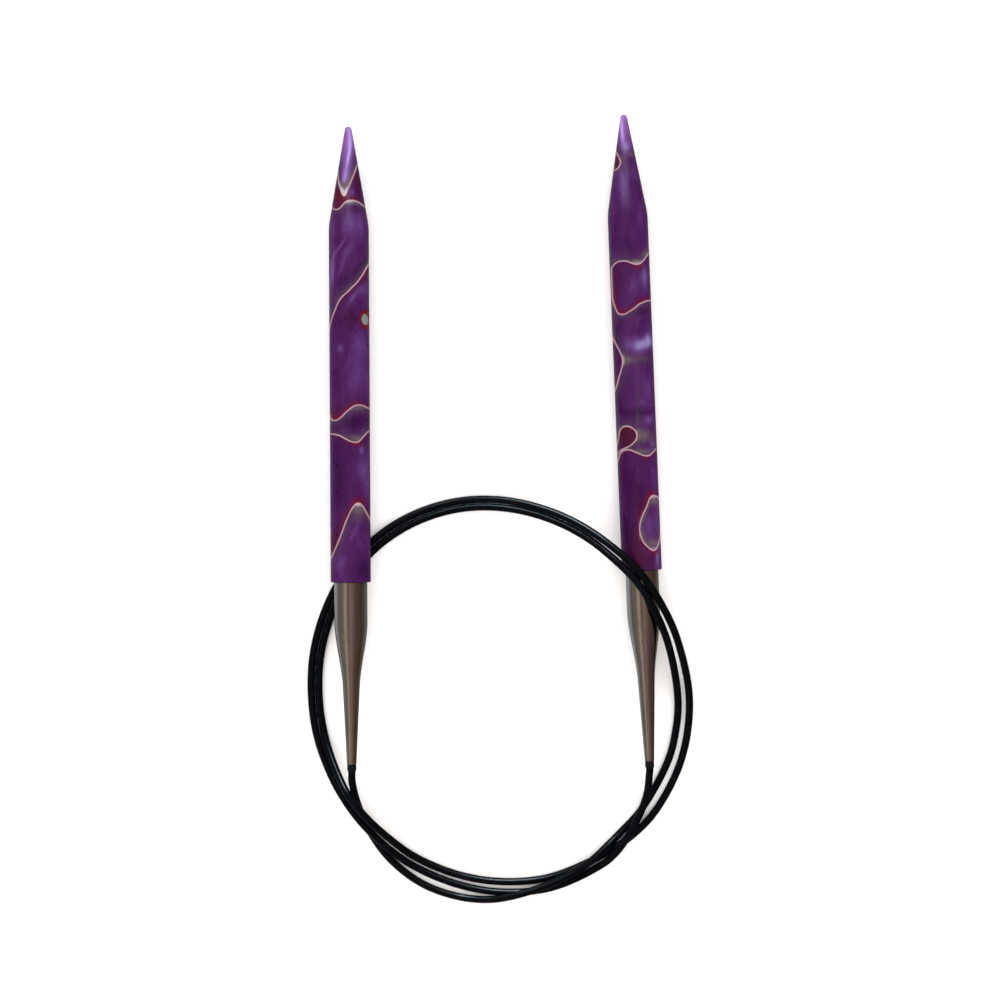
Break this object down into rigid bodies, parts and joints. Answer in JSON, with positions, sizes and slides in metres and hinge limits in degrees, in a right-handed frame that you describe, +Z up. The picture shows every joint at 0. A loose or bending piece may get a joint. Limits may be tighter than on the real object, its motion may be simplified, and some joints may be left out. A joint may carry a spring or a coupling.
{
  "type": "circular knitting needle",
  "caption": "Pair of pointed marbled acrylic knitting needle shafts in tapered steel ferrules that swivel on the ends of one long coiled black cable.",
  "frame": {"origin": "middle of the two needles' bounding box, at the height of the surface they lie on", "axes": "+Y towards the needle points, +X from the left needle to the right needle, +Z up"},
  "size_m": [0.0774, 0.158, 0.0096],
  "materials": {
    "cable": "smooth glossy black nylon",
    "marbled_acrylic": "polished purple pearl with crimson, olive and pale marbled lines",
    "ferrule_steel": "polished drawn steel tube",
    "stop_steel": "plain crimped steel",
    "sleeve": "satin black shrunk sleeve"
  },
  "bodies": {
    "cable_assembly": {"cable": "cable", "left_cable_stop": "stop_steel", "right_cable_stop": "stop_steel", "left_cable_sleeve": "sleeve", "right_cable_sleeve": "sleeve"},
    "left_needle": {"left_shaft": "marbled_acrylic", "left_ferrule": "ferrule_steel"},
    "right_needle": {"right_shaft": "marbled_acrylic", "right_ferrule": "ferrule_steel"}
  },
  "joints": [
    {"name": "left_swivel", "type": "hinge", "parent": "cable_assembly", "child": "left_needle", "pos_m": [-0.0285, -0.0648, 0.0065], "axis": [-0.007, 0.9997, -0.0236], "continuous": true},
    {"name": "right_swivel", "type": "hinge", "parent": "cable_assembly", "child": "right_needle", "pos_m": [0.0309, -0.0644, 0.004], "axis": [-0.0401, 0.9992, 0], "continuous": true}
  ]
}
